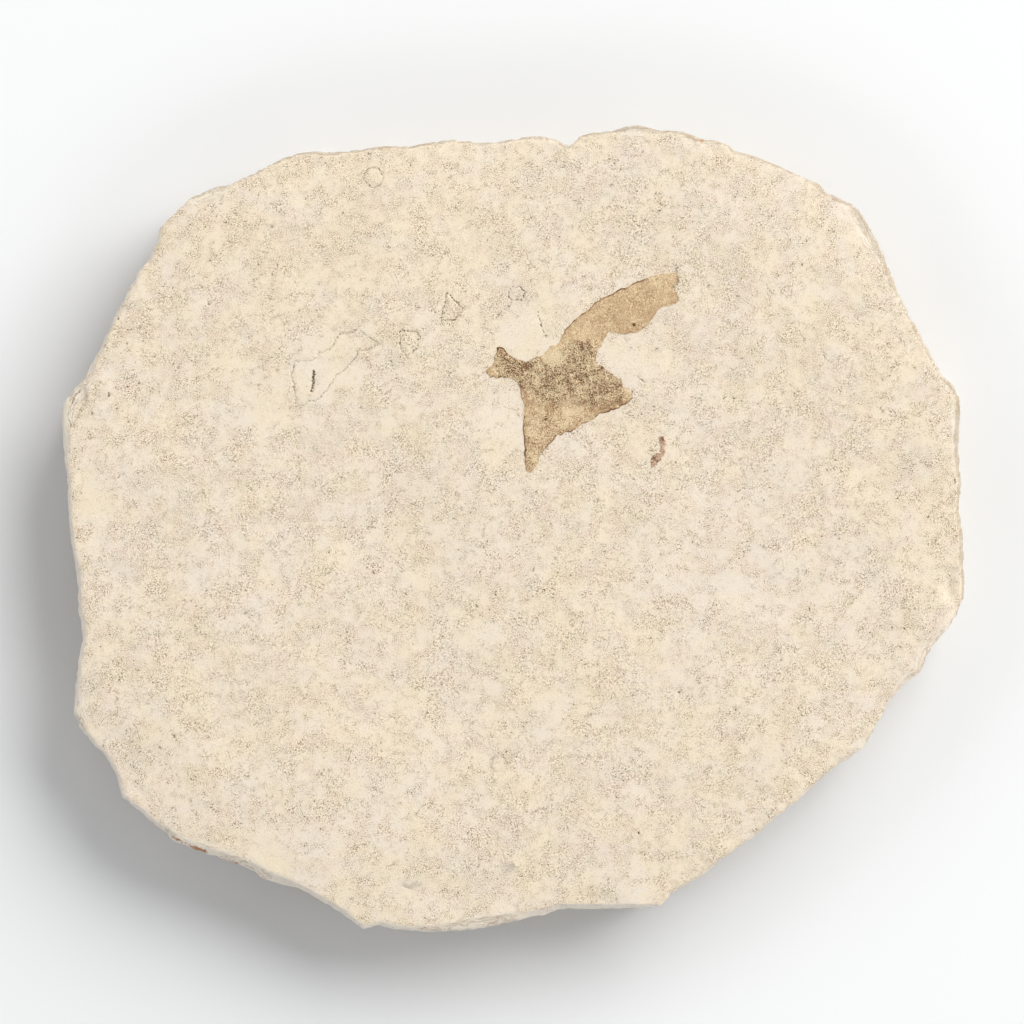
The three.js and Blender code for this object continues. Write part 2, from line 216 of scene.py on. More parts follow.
# The insect's film: blotches of thicker, darker film as x, y, half length, half width,
# turn in degrees and strength. Negative ones are thin, pale places.
BLOTCHES = [
    (0.9, 18.0, 1.9, 0.7, -27, 0.24), (0.3, 18.5, 0.6, 0.4, 0, 0.2),
    (-1.5, 19.7, 0.5, 0.6, 0, 0.2), (-2.2, 19.2, 0.5, 0.8, 0, 0.14),
    (2.5, 18.5, 0.6, 0.5, 0, 0.15), (1.8, 15.6, 1.1, 1.8, 0, -0.04),
    (5.3, 16.8, 1.5, 1.1, 0, 0.14), (3.9, 14.7, 0.8, 1.0, 0, 0.2),
    (4.4, 13.6, 0.6, 0.8, 0, 0.3), (6.5, 19.5, 0.7, 0.6, 0, 0.2),
    (7.9, 20.3, 0.8, 0.4, 15, 0.25), (8.8, 15.2, 1.8, 1.2, 10, 0.16),
    (10.2, 16.2, 1.2, 1.0, -30, 0.15), (10.6, 13.5, 2.4, 0.5, 19, 0.25),
    (8.3, 13.8, 1.2, 0.5, 5, 0.15), (7.3, 16.8, 2.0, 1.4, 0, 0.06),
    (2.4, 10.0, 1.2, 2.4, 0, -0.1), (1.6, 8.6, 0.3, 0.6, 0, 0.2),
    (13.3, 24.4, 3.0, 1.4, 30, 0.06), (2.4, 7.9, 1.2, 1.2, 0, -0.1),
    (13.3, 22.5, 0.16, 0.16, 0, 1.2), (3.6, 12.05, 0.14, 0.14, 0, 1.0),
    (1.7, 10.0, 0.12, 0.12, 0, 0.6), (15.8, 27.5, 0.14, 0.14, 0, 0.6),
    (7.0, 14.4, 0.25, 0.2, 0, -0.5), (4.8, 18.9, 1.2, 1.0, 10, -0.75),
    (-2.6, 17.4, 0.8, 0.7, 0, 0.06), (6.5, 12.3, 2.2, 0.8, 25, -0.2),
    (6.0, 13.7, 1.0, 1.0, 0, -0.26), (8.1, 15.7, 0.4, 0.3, 0, -0.3),
    (4.0, 14.9, 0.3, 0.3, 0, -0.7), (12.5, 15.2, 0.5, 0.4, 0, -0.3),
    (8.2, 22.0, 1.3, 1.2, 20, -0.12), (14.8, 26.8, 0.8, 0.5, 0, -0.1),
    (16.9, 27.5, 1.5, 0.6, 0, -0.16), (2.3, 10.4, 0.15, 0.15, 0, -0.5),
    (11.5, 13.5, 0.15, 0.15, 0, -0.9),
]

# Where the outline of that film is a dark line: x, y, half length, half width, turn and,
# where it is weaker, strength.
DARK_RIM = [
    (8.0, 23.5, 3.0, 1.2, 50), (13.0, 27.0, 3.5, 1.0, 35), (17.9, 26.5, 1.0, 2.4, 0, 0.25),
    (1.2, 14.5, 0.8, 2.4, 0, 0.6), (1.5, 9.0, 0.8, 3.0, 0, 0.6), (5.5, 10.6, 3.0, 0.8, 25),
    (10.6, 13.2, 3.0, 0.8, 20), (-0.4, 19.6, 2.2, 0.8, -30), (-0.6, 16.8, 2.0, 0.5, 0),
]

# Where that film is thick and crumpled: x, y, half length, half width and turn.
BODY = [(7.0, 16.3, 6.0, 3.2, 0), (0, 18.2, 2.6, 1.4, -20), (7.2, 19.8, 1.6, 0.9, 10)]

# Pinkish places in that film: as above, with a strength.
PINKISH = [
    (6.0, 13.8, 1.6, 1.2, 0, 0.6), (8.2, 15.6, 1.0, 0.7, 0, 0.5),
    (8.5, 22.1, 1.5, 0.8, 20, 0.5), (14.8, 26.8, 1.2, 0.8, 0, 0.4),
    (10.2, 16.2, 1.2, 1.0, 0, 0.4),
]

# Darker places in the small fossil's film: its head end and a blotch.
SMALL_BLOTCHES = [(16.45, 9.95, 0.25, 0.25, 0, 0.7), (15.6, 7.8, 0.5, 0.35, 30, 0.3)]


# ---------------------------------------------------------------------------------------
# Meshes


def alone(piece):
    """Makes a piece the only selected one and the active one."""
    bpy.ops.object.select_all(action="DESELECT")
    piece.select_set(True)
    bpy.context.view_layer.objects.active = piece


def copied(node, name):
    """A loose copy of a solid with its corners merged, which is free to be reshaped."""
    source = frame["nodes"][node]
    piece = source.copy()
    piece.data = source.data.copy()
    piece.name = piece.data.name = name
    piece.parent = None
    piece.data.materials.clear()
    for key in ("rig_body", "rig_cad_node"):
        del piece[key]
    bpy.context.collection.objects.link(piece)
    alone(piece)
    bpy.ops.object.mode_set(mode="EDIT")
    bpy.ops.mesh.select_all(action="SELECT")
    bpy.ops.mesh.remove_doubles(threshold=0.001 * MM)
    bpy.ops.object.mode_set(mode="OBJECT")
    return piece


def opened(piece, kind):
    """Opens a piece's mesh in edit mode, to select its corners, edges or faces."""
    alone(piece)
    bpy.ops.object.mode_set(mode="EDIT")
    bpy.ops.mesh.select_mode(type=kind)


def pick(piece, wanted):
    """In edit mode, selects the faces whose centre in millimetres and normal are wanted."""
    mesh = bmesh.from_edit_mesh(piece.data)
    for face in mesh.faces:
        face.select_set(bool(wanted(face.calc_center_median() / MM, face.normal)))
    mesh.select_flush_mode()
    bmesh.update_edit_mesh(piece.data)


def pick_open_edges():
    """In edit mode, selects the edges round the holes in a mesh."""
    bpy.ops.mesh.select_mode(type="EDGE")
    bpy.ops.mesh.select_all(action="DESELECT")
    bpy.ops.mesh.select_non_manifold(use_wire=False, use_multi_face=False,
                                     use_non_contiguous=False, use_verts=False)


def flatten(level):
    """In edit mode, brings all that is selected to one height, in metres."""
    bpy.ops.transform.resize(value=(1, 1, 0), center_override=(0, 0, level))


def modified(piece, kind, **settings):
    """Adds a modifier to a piece and applies it."""
    alone(piece)
    modifier = piece.modifiers.new(kind.lower(), kind)
    for key, value in settings.items():
        setattr(modifier, key, value)
    bpy.ops.object.modifier_apply(modifier=modifier.name)


def places(piece):
    """The corners of a piece in millimetres, one row each."""
    flat = np.empty(len(piece.data.vertices) * 3, np.float32)
    piece.data.vertices.foreach_get("co", flat)
    return flat.reshape(-1, 3).astype(float) / MM


def slopes(piece):
    """The normals at the corners of a piece."""
    flat = np.empty(len(piece.data.vertices) * 3, np.float32)
    piece.data.vertex_normals.foreach_get("vector", flat)
    return flat.reshape(-1, 3).astype(float)


def weighted(piece, weights):
    """A vertex group with the given weights from 0 to 1."""
    group = piece.vertex_groups.new(name="weights")
    for index in np.flatnonzero(weights > 0.002):
        group.add([int(index)], float(min(1.0, weights[index])), "REPLACE")
    return group


def pressed(piece, amount, depth, direction="NORMAL"):
    """Moves a piece's surface in by depth millimetres times the amount at each corner."""
    group = weighted(piece, amount)
    modified(piece, "DISPLACE", vertex_group=group.name, strength=-depth * MM,
             mid_level=0, direction=direction)
    piece.vertex_groups.remove(piece.vertex_groups["weights"])


def painted(piece, name, values):
    """Keeps a value at each corner for the materials to read."""
    layer = piece.data.attributes.new(name, "FLOAT", "POINT")
    layer.data.foreach_set("value", values.astype(np.float32))


def stepped(values, low, high):
    """0 below low, 1 above high and a smooth rise between."""
    share = np.clip((values - low) / (high - low), 0, 1)
    return share * share * (3 - 2 * share)


def clouds(points, size, octaves, seed, flat=1.0):
    """Soft noise from about -1 to 1. Its features are size millimetres across, and flat
    times that in height."""
    scaled = points / np.array([size, size, size * flat]) + 17.3 * seed
    return np.array([noise.fractal(Vector(p), 0.9, 2.0, octaves) for p in scaled])


def spots(points, blobs):
    """How strongly each point lies in turned oval spots: x, y, half length, half width,
    turn and, where given, strength."""
    total = np.zeros(len(points))
    for x, y, length, width, turn, *strength in blobs:
        c, s = math.cos(math.radians(turn)), math.sin(math.radians(turn))
        dx, dy = points[:, 0] - x, points[:, 1] - y
        away = ((c * dx + s * dy) / length) ** 2 + ((c * dy - s * dx) / width) ** 2
        total += (strength[0] if strength else 1) * np.exp(-away)
    return total


def off_line(points, line):
    """Distance in plan from each point to a line of straight runs."""
    nearest = np.full(len(points), 1e9)
    for (ax, ay), (bx, by) in zip(line, line[1:]):
        run = np.array([bx - ax, by - ay])
        step = points[:, :2] - [ax, ay]
        along = np.clip(step @ run / max(run @ run, 1e-12), 0, 1)
        nearest = np.minimum(nearest, np.hypot(*(step - along[:, None] * run).T))
    return nearest


def marks(points):
    """Darkness of the thin lines and lone grains at each point. They wander a little."""
    wander = 0.17
    dark = np.zeros(len(points))
    dots = [(0.75, 0.12 + 0.05 * math.sin(7 * i), dot) for i, dot in enumerate(DOTS)]
    for strength, width, line in LINES + dots:
        near = np.flatnonzero(off_line(points, line) < 6 * width)
        if not len(near):
            continue
        moved = points[near].copy()
        moved[:, 0] += wander * clouds(points[near], 0.55, 3, 21)
        moved[:, 1] += wander * clouds(points[near], 0.55, 3, 22)
        broken = strength * (0.85 + 1.5 * clouds(points[near], 0.22, 2, 23))
        away = off_line(moved, line) / width
        dark[near] = np.maximum(dark[near], broken * np.exp(-away ** 2))
    return np.clip(dark, 0, 1)


def inset_from(points, edge_points):
    """Distance from each point to the nearest of some edge points, in millimetres."""
    tree = kdtree.KDTree(len(edge_points))
    for index, point in enumerate(edge_points):
        tree.insert(point, index)
    tree.balance()
    return np.array([tree.find(p)[2] for p in points])


# ---------------------------------------------------------------------------------------
# Materials


def colour_ramp(tree, value, stops):
    """Adds a ramp of (place, colour) stops that reads a value, and gives its colour."""
    ramp = tree.nodes.new("ShaderNodeValToRGB")
    tree.links.new(value, ramp.inputs[0])
    elements = ramp.color_ramp.elements
    while len(elements) < len(stops):
        elements.new(0.5)
    for element, (at, colour) in zip(elements, stops):
        element.position = at
        element.color = (*colour, 1)
    return ramp.outputs[0]


class Wiring:
    """Adds nodes to a material. Each call gives the socket that the next one takes."""

    def __init__(self, name):
        self.material = bpy.data.materials.new(name)
        self.material.use_nodes = True
        self.tree = self.material.node_tree
        self.shader = self.tree.nodes["Principled BSDF"]
        coordinates = self.tree.nodes.new("ShaderNodeTexCoord").outputs["Object"]
        self.place = self.vector("SCALE", coordinates, factor=1 / MM)

    def node(self, kind, **settings):
        """A new node with the given settings."""
        made = self.tree.nodes.new(kind)
        for key, value in settings.items():
            setattr(made, key, value)
        return made

    def feed(self, socket, value):
        """Links a socket to a socket, or sets it to a plain value."""
        if isinstance(value, bpy.types.NodeSocket):
            self.tree.links.new(value, socket)
        else:
            socket.default_value = value

    def vector(self, operation, first, second=None, factor=None):
        """Arithmetic on vectors."""
        made = self.node("ShaderNodeVectorMath", operation=operation)
        self.feed(made.inputs[0], first)
        if second is not None:
            self.feed(made.inputs[1], second)
        if factor is not None:
            self.feed(made.inputs["Scale"], factor)
        return made.outputs[0]

    def math(self, operation, first, second=0.0, clamp=False):
        """Arithmetic on numbers."""
        made = self.node("ShaderNodeMath", operation=operation, use_clamp=clamp)
        self.feed(made.inputs[0], first)
        self.feed(made.inputs[1], second)
        return made.outputs[0]

    def noise(self, size, detail, roughness, seed, place=None):
        """Noise about 0, with features of that size in millimetres."""
        moved = self.vector("ADD", place or self.place, (seed * 31.7, seed * 17.9, seed * 23.3))
        made = self.node("ShaderNodeTexNoise")
        self.feed(made.inputs["Vector"], moved)
        made.inputs["Scale"].default_value = 1 / size
        made.inputs["Detail"].default_value = detail
        made.inputs["Roughness"].default_value = roughness
        return self.math("SUBTRACT", made.outputs["Fac"], 0.5)

    def attribute(self, name):
        """What was painted on the corners under that name."""
        return self.node("ShaderNodeAttribute", attribute_name=name).outputs["Fac"]

    def span(self, value, low, high, to_low=0.0, to_high=1.0):
        """A smooth change from to_low to to_high as the value goes from low to high."""
        made = self.node("ShaderNodeMapRange", interpolation_type="SMOOTHSTEP")
        for socket, given in zip(made.inputs, (value, low, high, to_low, to_high)):
            self.feed(socket, given)
        return made.outputs["Result"]

    def total(self, *terms):
        """The sum of (factor, value) terms."""
        added = None
        for factor, value in terms:
            part = self.math("MULTIPLY", factor, value)
            added = part if added is None else self.math("ADD", added, part)
        return added

    def mix(self, amount, first, second):
        """The first colour where the amount is 0 and the second where it is 1."""
        made = self.node("ShaderNodeMix", data_type="RGBA")
        self.feed(made.inputs[0], amount)
        for socket, given in ((made.inputs[6], first), (made.inputs[7], second)):
            self.feed(socket, (*given, 1) if isinstance(given, (tuple, list)) else given)
        return made.outputs[2]

    def bump(self, height, depth):
        """Normals that follow a height, where 1 is depth millimetres."""
        made = self.node("ShaderNodeBump")
        made.inputs["Strength"].default_value = 1
        made.inputs["Distance"].default_value = depth * MM
        self.feed(made.inputs["Height"], height)
        return made.outputs[0]

    def finish(self, colour, roughness, normal, specular):
        """Feeds the shader and gives the material."""
        self.feed(self.shader.inputs["Base Color"], colour)
        self.feed(self.shader.inputs["Roughness"], roughness)
        self.feed(self.shader.inputs["Normal"], normal)
        self.shader.inputs["Specular IOR Level"].default_value = specular
        return self.material


def stone_material(look):
    """Cream limestone: smooth skin, soft clouds of fine grains, thin beds at the edge."""
    w = Wiring("limestone")
    side = w.attribute("side")
    patches = w.noise(1.7, 3, 0.62, 1)
    blotches = w.noise(0.75, 2, 0.5, 7)
    grain = w.noise(0.16, 1, 0.6, 2)
    tint = w.noise(3.6, 4, 0.65, 4)
    pinkness = w.noise(2.4, 3, 0.6, 5)
    broad_tint = w.noise(4.2, 3, 0.6, 8)

    pale = w.attribute("pale")
    field = w.total((0.9, patches), (0.4, blotches), (0.55, tint), (1, w.attribute("grime")),
                    (-0.3, pale))
    rough = w.span(field, -0.24, 0.22)
    coolness = w.span(w.total((1.1, broad_tint), (0.22, w.attribute("cool"))), -0.25, 0.25)
    skin = w.mix(coolness, tuple(look.skin_warm), tuple(look.skin_cool))
    worn = w.mix(coolness, tuple(look.worn_warm), tuple(look.worn_cool))
    worn = w.mix(w.span(pinkness, -0.08, 0.16, 0, 0.85), worn, tuple(look.worn_pink))
    colour = w.mix(rough, skin, worn)
    smudges = w.math("MULTIPLY", w.span(blotches, 0.05, 0.24, 0, 0.7), rough)
    colour = w.mix(smudges, colour, tuple(look.smudge))

    # The pale colour goes on rubbed places and, as a painted highlight, on the crest of the rim
    # where it faces away from the key light.
    rubbed = w.span(w.total((1, pale), (0.6, patches)), 0.25, 0.65, 0, 0.85)
    colour = w.mix(rubbed, colour, tuple(look.pale))

    loose = w.total((1, w.noise(0.075, 0, 0.5, 3)), (0.12, grain))
    speck = w.mix(coolness, tuple(look.speck_warm), tuple(look.speck_cool))
    glint = w.mix(coolness, tuple(look.glint_warm), tuple(look.glint_cool))
    grainy = w.span(rough, 0, 1, 0.25, 1)
    colour = w.mix(w.math("MULTIPLY", w.span(loose, 0.04, 0.19), grainy), colour, speck)
    colour = w.mix(w.math("MULTIPLY", w.span(loose, 0.0, -0.1), grainy), colour, glint)
    dots = w.total((1, w.noise(0.19, 0, 0.5, 9)), (0.15, patches), (0.1, blotches))
    dots = w.math("MULTIPLY", w.span(dots, 0.255, 0.315), w.span(rough, 0, 1, 0.35, 1))
    colour = w.mix(dots, colour, tuple(look.dot))

    outwards = w.vector("SCALE", (0, 0, -1.6), factor=w.attribute("ledge"))
    bedding = w.vector("ADD", w.vector("MULTIPLY", w.place, (0.12, 0.12, 1)), outwards)
    beds = w.noise(0.5, 3, 0.6, 6, bedding)
    # The broken edge: its own colour mixed with painted shade where it faces the key light, and
    # with darker stone low down and in the chip scars.
    edge = w.mix(w.attribute("painted_shade_and_darker_stone"), tuple(look.side), tuple(look.painted_shade_and_darker_stone))
    colour = w.mix(w.math("MULTIPLY", side, 0.85), colour, edge)
    seams = w.math("MULTIPLY", w.span(w.math("ABSOLUTE", beds), 0.05, 0.0, 0, 0.6), side)
    colour = w.mix(seams, colour, tuple(look.seam))
    rust_field = w.total((1, w.attribute("rust")), (0.8, patches), (0.8, beds), (1.6, grain))
    colour = w.mix(w.span(rust_field, 0.35, 0.75, 0, 0.85), colour, tuple(look.rust))
    mark = w.math("MULTIPLY", w.attribute("mark"), w.span(grain, -0.15, 0.15, 0.55, 1.2), True)
    colour = w.mix(mark, colour, tuple(look.mark))

    height = w.total((0.5, patches), (0.5, blotches), (0.1, grain), (-0.15, rough),
                     (-0.5, mark), (-0.5, seams))
    return w.finish(colour, w.span(rough, 0, 1, 0.84, 0.94), w.bump(height, 0.03),
                    specular=0.2)


def film_material(name, look):
    """A thin brown film, from pale where it is thin to dark where it is thick."""
    w = Wiring(name)
    rough = w.attribute("rough")
    broad = w.noise(1.5, 2, 0.6, 14)
    middle = w.noise(0.6, 4, 0.7, 11)
    clumps = w.noise(0.3, 3, 0.7, 12)
    fine = w.noise(0.085, 0, 0.5, 3)
    flecks = w.noise(0.2, 1, 0.5, 15)
    crusts = w.total(
        (1, w.span(middle, 0.0, 0.12, -0.05, 0.15)),
        (1, w.span(clumps, 0.06, 0.14, 0, 0.2)),
        (1, w.span(w.total((1, clumps), (0.6, middle)), -0.08, -0.16, 0, -0.3)),
        (1, w.span(flecks, 0.12, 0.17, 0, -0.8)), (1, w.span(flecks, -0.12, -0.18, 0, 0.6)),
        (0.9, broad), (1.8, fine),
    )
    patches = w.total((1.3, w.noise(0.9, 2, 0.6, 16)), (0.5, middle))
    thick = w.total((1, w.attribute("thick")), (rough, crusts), (rough, patches), (0.5, broad),
                    (0.6, middle), (0.35, clumps), (1.4, fine))

    stops = ((0.0, look.thin), (0.3, look.film), (0.6, look.thick), (1.0, look.dark))
    brown = colour_ramp(w.tree, thick, stops)
    reddish = w.span(w.total((0.8, w.attribute("warm")), (1, broad)), -0.1, 0.6, 0, 0.6)
    colour = w.mix(reddish, brown, w.mix(0.5, brown, tuple(look.warm)))
    height = w.total((rough, crusts), (0.2, middle), (0.1, clumps))
    return w.finish(colour, w.span(rough, 0, 1, 0.7, 0.85), w.bump(height, 0.06),
                    specular=0.2)


# ---------------------------------------------------------------------------------------
# Settings


def length(name, description, value):
    """A length setting, given in millimetres."""
    return FloatProperty(name=name, description=description, default=value * MM,
                         min=0, unit="LENGTH", precision=5)


def colour(name, description, red, green, blue):
    """A colour setting, given as screen values from 0 to 255."""
    def linear(value):
        share = value / 255
        return share / 12.92 if share < 0.04045 else ((share + 0.055) / 1.055) ** 2.4

    return FloatVectorProperty(name=name, description=description, subtype="COLOR",
                               default=tuple(linear(v) for v in (red, green, blue)),
                               min=0, max=1)


class StoneSettings(bpy.types.PropertyGroup):
    """Sizes and colours of the limestone."""

    spacing: length("Spacing", "Distance between the points of the stone's surface", 0.25)
    triangles: IntProperty(name="Triangles", description="Most triangles that the stone keeps",
                           default=188000, min=10000)
    relief: length("Face relief", "Depth of the hollows in the split face", 0.1)
    skin_step: length("Skin step", "Height of the steps round the smooth patches", 0.025)
    break_depth: length("Break depth", "Roughness of the broken edge", 0.25)
    lamina_depth: length("Lamina depth", "How far single laminae stand back", 0.25)
    rim_depth: length("Rim depth", "How far the rim of the face wanders", 0.15)
    skin_warm: colour("Warm skin", "Smooth stone where it is yellower", 243, 227, 200)
    skin_cool: colour("Cool skin", "Smooth stone where it is greyer", 240, 226, 209)
    worn_warm: colour("Warm stone", "Grainy stone where it is yellower", 233, 216, 188)
    worn_cool: colour("Cool stone", "Grainy stone where it is greyer", 231, 216, 198)
    worn_pink: colour("Pink stone", "Grainy stone where it is pinkish", 237, 212, 191)
    smudge: colour("Smudges", "Small dark clouds in the grainy stone", 196, 181, 152)
    speck_warm: colour("Warm specks", "Fine dark grains in yellower stone", 136, 117, 86)
    speck_cool: colour("Cool specks", "Fine dark grains in greyer stone", 135, 117, 94)
    glint_warm: colour("Warm glints", "Fine bright grains in yellower stone", 248, 233, 206)
    glint_cool: colour("Cool glints", "Fine bright grains in greyer stone", 247, 232, 213)
    dot: colour("Dots", "Few, slightly larger dark grains", 110, 92, 66)
    # Also a painted highlight on the crest of the rim, where it faces away from the key light.
    pale: colour("Rubbed", "Pale rubbed places and the crest of the rim", 246, 237, 226)
    # The broken edge's own colour, where no painted shade is mixed in.
    side: colour("Edge", "Fresher stone of the broken edge", 244, 233, 216)
    # Painted shade on the broken edge where it faces the key light; also the darker stone low on
    # the edge and in the chip scars.
    painted_shade_and_darker_stone: colour("Weathered edge", "Greyer stone of the broken edge", 147, 138, 125)
    seam: colour("Seams", "Lines between the beds", 158, 130, 98)
    rust: colour("Rust", "Iron stains on the edge", 168, 112, 62)
    mark: colour("Marks", "Dark outlines, grains and the sliver", 76, 58, 28)


class FilmSettings(bpy.types.PropertyGroup):
    """Sizes and colours of the insect's film."""

    spacing: length("Spacing", "Distance between the points of the film's surface", 0.1)
    ragged: length("Ragged", "How far the film's outline wanders", 0.13)
    proud: length("Proud", "How far the film stands above the stone", 0.03)
    depth: length("Depth", "How far the film reaches into the stone", 0.1)
    crumple: length("Crumple", "Height of the body's crumpled surface", 0.08)
    thin: colour("Thin film", "Where the film is thinnest", 237, 214, 175)
    film: colour("Film", "The wing's tan", 207, 179, 139)
    thick: colour("Thick film", "The body's brown", 175, 139, 103)
    dark: colour("Darkest film", "The darkest blotches", 98, 66, 38)
    warm: colour("Reddish film", "Pinkish-brown places", 205, 167, 138)


class SmallFilmSettings(bpy.types.PropertyGroup):
    """Sizes and colours of the small fossil's film."""

    spacing: length("Spacing", "Distance between the points of the film's surface", 0.05)
    ragged: length("Ragged", "How far the film's outline wanders", 0.13)
    proud: length("Proud", "How far the film stands above the stone", 0.02)
    depth: length("Depth", "How far the film reaches into the stone", 0.1)
    crumple: length("Crumple", "Height of its crumpled surface", 0.05)
    thin: colour("Thin film", "Where the film is thinnest", 232, 208, 180)
    film: colour("Film", "The film's reddish tan", 206, 170, 142)
    thick: colour("Thick film", "Reddish brown", 166, 126, 98)
    dark: colour("Darkest film", "The head end", 84, 60, 42)
    warm: colour("Reddish film", "Pinkish-brown places", 196, 150, 124)


class StageSettings(bpy.types.PropertyGroup):
    """Floor, light and camera."""

    floor_size: FloatProperty(name="Floor size", description="Side of the square floor",
                              default=4, unit="LENGTH")
    floor: colour("Floor", "Pale plain floor", 245, 245, 245)
    fill: FloatProperty(name="Fill", description="Strength of the ring of light all round",
                        default=1.5)
    fill_colour: colour("Fill colour", "Colour of the light all round", 251, 253, 255)
    fill_low: FloatProperty(name="Fill from", description="Angle where that ring starts",
                            default=math.radians(14), subtype="ANGLE")
    fill_high: FloatProperty(name="Fill to", description="Angle where that ring ends",
                             default=math.radians(40), subtype="ANGLE")
    fill_rest: FloatProperty(name="Fill elsewhere", description="Strength of the light above "
                             "and below that ring", default=0.05)
    key_power: FloatProperty(name="Key power", description="Power of the soft key light",
                             default=144.5, unit="POWER")
    key_colour: colour("Key colour", "Colour of the key light", 254, 254, 252)
    key_distance: FloatProperty(name="Key distance", description="From the slab to the light",
                                default=3, unit="LENGTH")
    key_spread: FloatProperty(name="Key spread", description="Angle that the light fills",
                              default=math.radians(56), subtype="ANGLE")
    key_height: FloatProperty(name="Key height", description="Angle of the light above the floor",
                              default=math.radians(24), subtype="ANGLE")
    key_bearing: FloatProperty(name="Key bearing", description="Angle of the light from +X",
                               default=math.radians(44), subtype="ANGLE")
    lens: FloatProperty(name="Lens", description="Focal length of the camera", default=200,
                        unit="CAMERA")
    view_width: length("View width", "Width that the picture shows", 113.15)
    view_level: length("View level", "Height at which it shows that width", 8)
    aim_x: FloatProperty(name="Aim X", description="Middle of the picture", default=-0.166 * MM,
                         unit="LENGTH", precision=5)
    aim_y: FloatProperty(name="Aim Y", description="Middle of the picture", default=1.827 * MM,
                         unit="LENGTH", precision=5)


# ---------------------------------------------------------------------------------------
# Pieces


def fill_recesses(piece):
    """Closes the recesses that the specimens' solids lie in, so that the face is whole."""
    margin = Vector((0.5, 0.5, 0))
    boxes = []
    for node in ("insect", "small_fossil"):
        low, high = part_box(node)
        boxes.append((low / MM - margin, high / MM + margin))
    floor_level = boxes[0][0].z + 0.1
    middle_level = 4

    def in_recess(centre, normal):
        inside = any(low.x < centre.x < high.x and low.y < centre.y < high.y
                     for low, high in boxes)
        lowered = centre.z < floor_level or abs(normal.z) < 0.5
        return inside and lowered and centre.z > middle_level

    opened(piece, "FACE")
    pick(piece, in_recess)
    bpy.ops.mesh.delete(type="FACE")
    pick_open_edges()
    bpy.ops.mesh.fill(use_beauty=True)
    bpy.ops.object.mode_set(mode="OBJECT")


def level_underside(piece):
    """Replaces the many small faces of the flat underside by one."""
    opened(piece, "FACE")
    pick(piece, lambda centre, normal: centre.z < 0.1 and normal.z < -0.98)
    bpy.ops.mesh.delete(type="FACE")
    pick_open_edges()
    bpy.ops.mesh.edge_face_add()
    flatten(0)
    bpy.ops.object.mode_set(mode="OBJECT")


def settled(piece):
    """Flattens what lies close to the floor onto it."""
    opened(piece, "VERT")
    bpy.ops.mesh.select_all(action="DESELECT")
    mesh = bmesh.from_edit_mesh(piece.data)
    for corner in mesh.verts:
        corner.select_set(corner.co.z < REST_LEVEL * MM)
    mesh.select_flush_mode()
    bmesh.update_edit_mesh(piece.data)
    flatten(0)
    bpy.ops.object.mode_set(mode="OBJECT")


def refine_marks(piece):
    """Halves the spacing of the surface near the thin lines and lone grains, twice."""
    lines = [line for _, _, line in LINES] + DOTS
    for reach in (0.42, 0.3):
        centres = np.empty(len(piece.data.polygons) * 3, np.float32)
        piece.data.polygons.foreach_get("center", centres)
        centres = centres.reshape(-1, 3).astype(float) / MM
        near = np.zeros(len(centres), bool)
        for line in lines:
            near |= off_line(centres, line) < reach
        near &= centres[:, 2] > FACE_LEVEL
        opened(piece, "FACE")
        mesh = bmesh.from_edit_mesh(piece.data)
        for face, wanted in zip(mesh.faces, near):
            face.select_set(bool(wanted))
        mesh.select_flush_mode()
        bmesh.update_edit_mesh(piece.data)
        bpy.ops.mesh.subdivide(number_cuts=1)
        bpy.ops.object.mode_set(mode="OBJECT")


def face_inset(points, normals):
    """How far in from the broken edge each point of the split face lies, and 0 elsewhere."""
    steep = (normals[:, 2] < 0.75) & (points[:, 2] > 1)
    face = (points[:, 2] > RIM_LEVEL) & ~steep
    inset = np.zeros(len(points))
    inset[face] = inset_from(points[face] * IN_PLAN, points[steep] * IN_PLAN)
    return inset


def ledge_reach(points, normals):
    """How far in from the outline each point near the top lies, and 0 lower down."""
    beds_from, beds_to = 4.5, 7.9
    wall = (normals[:, 2] < 0.5) & (points[:, 2] > beds_from) & (points[:, 2] < beds_to)
    top = points[:, 2] > beds_to
    reach = np.zeros(len(points))
    reach[top] = inset_from(points[top] * IN_PLAN, points[wall] * IN_PLAN)
    return reach


def notched(piece, amount, depth, normals):
    """Moves a piece's surface in level with the floor, by depth millimetres times the amount."""
    for axis, direction in enumerate("XY"):
        for sign in (1, -1):
            facing = np.clip(sign * normals[:, axis], 0, 1)
            pressed(piece, amount * facing, sign * depth, direction)


